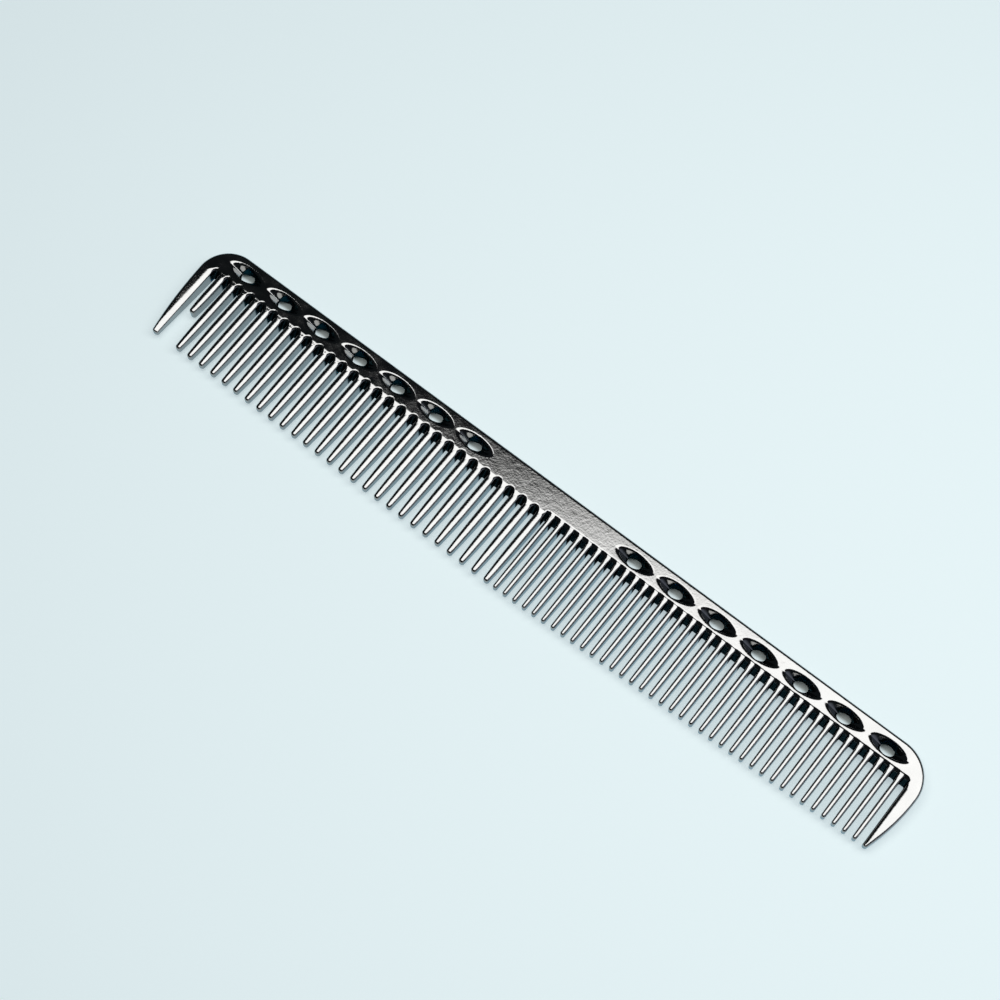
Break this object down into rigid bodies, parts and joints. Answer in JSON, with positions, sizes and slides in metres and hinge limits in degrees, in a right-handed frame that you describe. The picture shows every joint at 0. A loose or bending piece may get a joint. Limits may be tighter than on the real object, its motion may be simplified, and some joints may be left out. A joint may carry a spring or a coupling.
{
  "type": "hair comb",
  "caption": "Flat metal barber's cutting comb with coarse and fine teeth, end guards, and finger pockets with holes along the spine.",
  "frame": {"origin": "centre of the comb's box, on the back face that it rests on", "axes": "+X along the comb towards the fine end, +Y from the tooth tips towards the back of the spine, +Z through the thickness, away from the resting face"},
  "size_m": [0.178, 0.024, 0.004],
  "materials": {
    "plated_casting": "die-cast aluminium, polished and plated to a dark gunmetal mirror"
  },
  "bodies": {
    "root": {"spine": "plated_casting", "coarse_teeth": "plated_casting", "fine_teeth": "plated_casting", "parting_tooth": "plated_casting", "coarse_end_guard": "plated_casting", "fine_end_guard": "plated_casting"}
  },
  "joints": []
}
